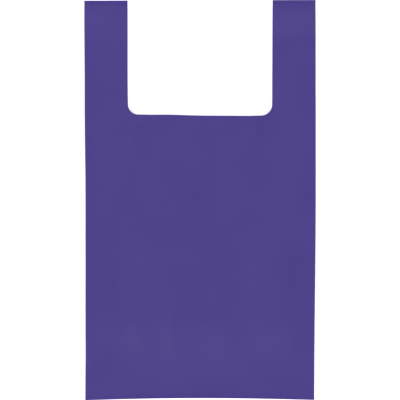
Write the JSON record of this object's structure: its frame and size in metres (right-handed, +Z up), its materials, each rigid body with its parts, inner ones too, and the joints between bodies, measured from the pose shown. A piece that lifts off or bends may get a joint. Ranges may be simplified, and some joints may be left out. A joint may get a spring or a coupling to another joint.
{
  "type": "film carrier bag",
  "caption": "Flat purple plastic film shopping bag with loop handles cut from its top, side gussets folded in and a sealed bottom, lying on its back with its mouth a little open.",
  "frame": {"origin": "on the surface the bag lies on, under the middle of its bounding box", "axes": "X runs across the bag from side fold to side fold, Y along it from the sealed bottom to the handle tops, Z up from the back panel through the front panel"},
  "size_m": [0.2604, 0.4516, 0.0145],
  "materials": {
    "film": "opaque violet-blue polyethylene film with a soft satin gloss"
  },
  "bodies": {
    "root": {"bag": "film"}
  },
  "joints": []
}
